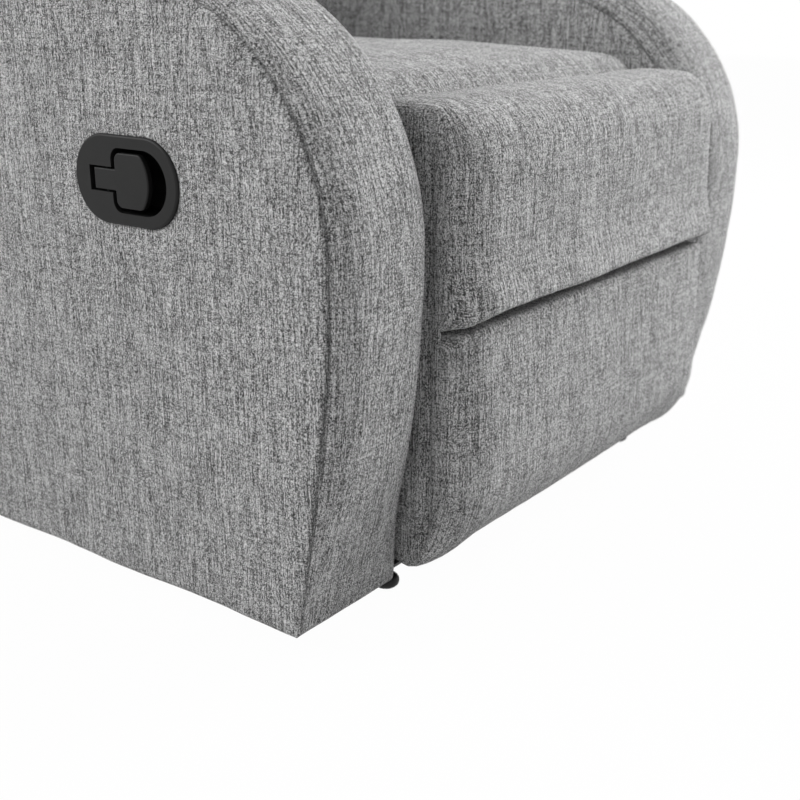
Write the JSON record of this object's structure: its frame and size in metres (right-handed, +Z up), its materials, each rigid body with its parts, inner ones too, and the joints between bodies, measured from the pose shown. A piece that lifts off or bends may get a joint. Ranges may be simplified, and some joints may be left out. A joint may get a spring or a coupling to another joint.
{
  "type": "recliner armchair",
  "caption": "Padded recliner armchair in grey woven cloth with a side release handle, folding footrest and reclining back on a steel linkage.",
  "frame": {"origin": "on the floor, under the middle of the chair's box", "axes": "+Z up, the chair faces -Y, +X to the sitter's left"},
  "size_m": [0.8035, 0.9213, 1.0142],
  "materials": {
    "grey_cloth": "woven",
    "webbing": "woven",
    "black_plastic": "matte",
    "black_steel": "satin",
    "zinc_steel": "satin",
    "plywood": "matte",
    "pine": "matte"
  },
  "bodies": {
    "base": {"arm_cover_left": "grey_cloth", "arm_cover_right": "grey_cloth", "arm_frame_left": "plywood", "arm_frame_right": "plywood", "base_rail_left": "black_steel", "base_rail_right": "black_steel", "front_feet": "black_plastic", "rear_feet": "black_plastic", "front_cross_tube": "black_steel", "rear_cross_tube": "black_steel", "arm_bolts": "zinc_steel", "rear_panel": "grey_cloth", "base_rivets": "zinc_steel", "handle_bezel": "black_plastic", "lever_pin": "zinc_steel", "lever_spring": "zinc_steel", "latch_bracket": "black_steel", "release_cable": "black_plastic"},
    "handle": {"handle_lever": "black_plastic"},
    "pawl": {"latch_pawl": "zinc_steel"},
    "front_swing": {"front_swing_link_left": "black_steel", "front_swing_link_right": "black_steel"},
    "rear_swing": {"rear_swing_link_left": "black_steel", "rear_swing_link_right": "black_steel"},
    "seat": {"seat_plate_left": "black_steel", "seat_plate_right": "black_steel", "seat_side_rail_left": "pine", "seat_side_rail_right": "pine", "seat_front_rail": "pine", "seat_rear_rail": "pine", "seat_springs": "zinc_steel", "seat_cushion": "grey_cloth", "seat_rivets": "zinc_steel", "opening_springs": "zinc_steel"},
    "back": {"back_bracket_left": "black_steel", "back_bracket_right": "black_steel", "back_post_left": "pine", "back_post_right": "pine", "back_bottom_rail": "pine", "back_middle_rail": "pine", "back_top_rail": "pine", "back_webbing": "webbing", "back_cushion": "grey_cloth", "back_cover": "grey_cloth"},
    "main_links": {"main_link_left": "black_steel", "main_link_right": "black_steel", "main_rivets": "zinc_steel", "torque_tube": "black_steel"},
    "rear_links": {"rear_link_left": "black_steel", "rear_link_right": "black_steel", "rear_rivets": "zinc_steel"},
    "cross_links": {"cross_link_left": "black_steel", "cross_link_right": "black_steel"},
    "front_links": {"front_link_left": "black_steel", "front_link_right": "black_steel"},
    "footrest": {"footrest_bracket_left": "black_steel", "footrest_bracket_right": "black_steel", "footrest_rivets": "zinc_steel", "footrest_board": "plywood", "footrest_cushion": "grey_cloth"}
  },
  "joints": [
    {"name": "back_recline", "type": "hinge", "parent": "seat", "child": "back", "pos_m": [0, 0.2695, 0.31], "axis": [-1, 0, 0], "range_deg": [0, 40]},
    {"name": "rear_swing", "type": "hinge", "parent": "base", "child": "rear_swing", "pos_m": [0, 0.1595, 0.062], "axis": [1, 0, 0], "range_deg": [0, 40]},
    {"name": "seat_carry", "type": "hinge", "parent": "rear_swing", "child": "seat", "pos_m": [0, 0.1937, 0.15597], "axis": [-1, 0, 0], "range_deg": [0, 40]},
    {"name": "front_swing", "type": "hinge", "parent": "base", "child": "front_swing", "pos_m": [0, -0.0905, 0.062], "axis": [1, 0, 0], "range_deg": [0, 40]},
    {"name": "footrest_extend", "type": "hinge", "parent": "seat", "child": "main_links", "pos_m": [0, -0.2355, 0.3], "axis": [-1, 0, 0], "range_deg": [0, 88]},
    {"name": "rear_link_turn", "type": "hinge", "parent": "seat", "child": "rear_links", "pos_m": [0, -0.17704, 0.2865], "axis": [-1, 0, 0], "range_deg": [0, 88]},
    {"name": "cross_link_turn", "type": "hinge", "parent": "main_links", "child": "cross_links", "pos_m": [0, -0.15601, 0.17279], "axis": [1, 0, 0], "range_deg": [0, 88]},
    {"name": "front_link_turn", "type": "hinge", "parent": "main_links", "child": "front_links", "pos_m": [0, -0.15601, 0.09779], "axis": [1, 0, 0], "range_deg": [0, 88]},
    {"name": "footrest_turn", "type": "hinge", "parent": "cross_links", "child": "footrest", "pos_m": [0, -0.34851, 0.33029], "axis": [-1, 0, 0], "range_deg": [0, 88]},
    {"name": "handle_pull", "type": "hinge", "parent": "base", "child": "handle", "pos_m": [-0.3945, -0.177, 0.396], "axis": [0, 0, -1], "range_deg": [0, 35], "stiffness_Nm_per_rad": 0.6, "springref_deg": -11.46},
    {"name": "latch_release", "type": "hinge", "parent": "base", "child": "pawl", "pos_m": [-0.2525, -0.1985, 0.096], "axis": [-1, 0, 0], "range_deg": [0, 12]}
  ],
  "couplings": [
    {"joint": "rear_swing", "follows": "back_recline", "ratio": 1},
    {"joint": "seat_carry", "follows": "back_recline", "ratio": 1},
    {"joint": "front_swing", "follows": "back_recline", "ratio": 1},
    {"joint": "rear_link_turn", "follows": "footrest_extend", "ratio": 1},
    {"joint": "cross_link_turn", "follows": "footrest_extend", "ratio": 1},
    {"joint": "front_link_turn", "follows": "footrest_extend", "ratio": 1},
    {"joint": "footrest_turn", "follows": "footrest_extend", "ratio": 1},
    {"joint": "latch_release", "follows": "handle_pull", "ratio": 0.3424}
  ]
}
